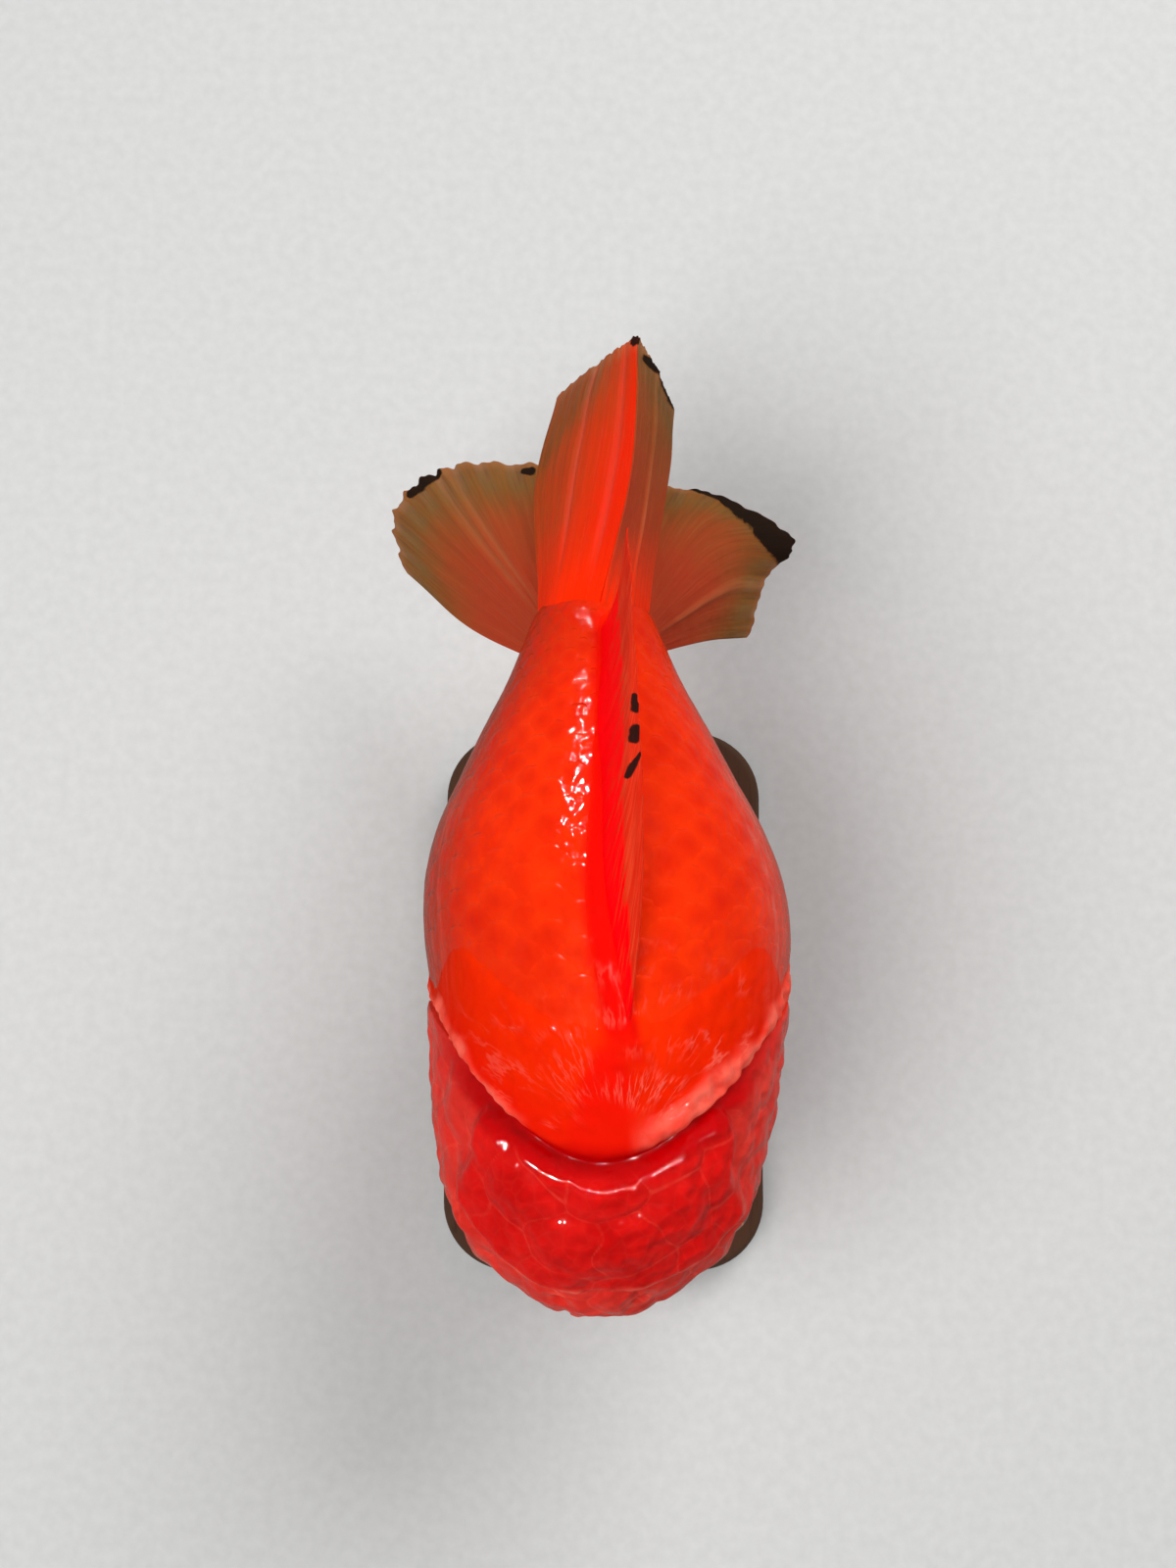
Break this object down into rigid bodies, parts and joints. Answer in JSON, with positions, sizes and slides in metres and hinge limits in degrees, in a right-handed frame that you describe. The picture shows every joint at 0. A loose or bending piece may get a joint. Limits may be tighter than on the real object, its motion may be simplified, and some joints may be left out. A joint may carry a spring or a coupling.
{
  "type": "oranda goldfish",
  "caption": "Life-size still model of a red hooded goldfish with an egg-shaped body, folded back fin and spread lobed tail, held level over a flat base by short rods",
  "frame": {"origin": "middle of the stand's underside, below the middle of the fish", "axes": "the fish's head points along -Y and its tail along +Y, its left side faces +X and its back faces +Z"},
  "size_m": [0.0787, 0.1716, 0.1118],
  "materials": {
    "skin": "wet, vivid orange-red scaled skin under clear slime",
    "hood": "wet crimson flesh raised in rounded bulbs",
    "fin": "thin ribbed red-orange membrane, browner to the margin with black blotches",
    "eye": "polished dark pupil in a dull gold ring",
    "stand_base": "dark satin varnish",
    "stand_rod": "satin turned steel"
  },
  "bodies": {
    "root": {"head": "hood", "hood_crown": "hood", "gill_cover_left": "hood", "gill_cover_right": "hood", "eye_left": "eye", "eye_right": "eye", "torso": "skin", "tail_stalk": "skin", "dorsal_fin": "fin", "pectoral_fin_left": "fin", "pectoral_fin_right": "fin", "pelvic_fin_left": "fin", "pelvic_fin_right": "fin", "anal_fin_left": "fin", "anal_fin_right": "fin", "tail_upper_left": "fin", "tail_upper_right": "fin", "tail_lower_left": "fin", "tail_lower_right": "fin", "stand_base": "stand_base", "stand_rod_front": "stand_rod", "stand_rod_rear": "stand_rod"}
  },
  "joints": []
}
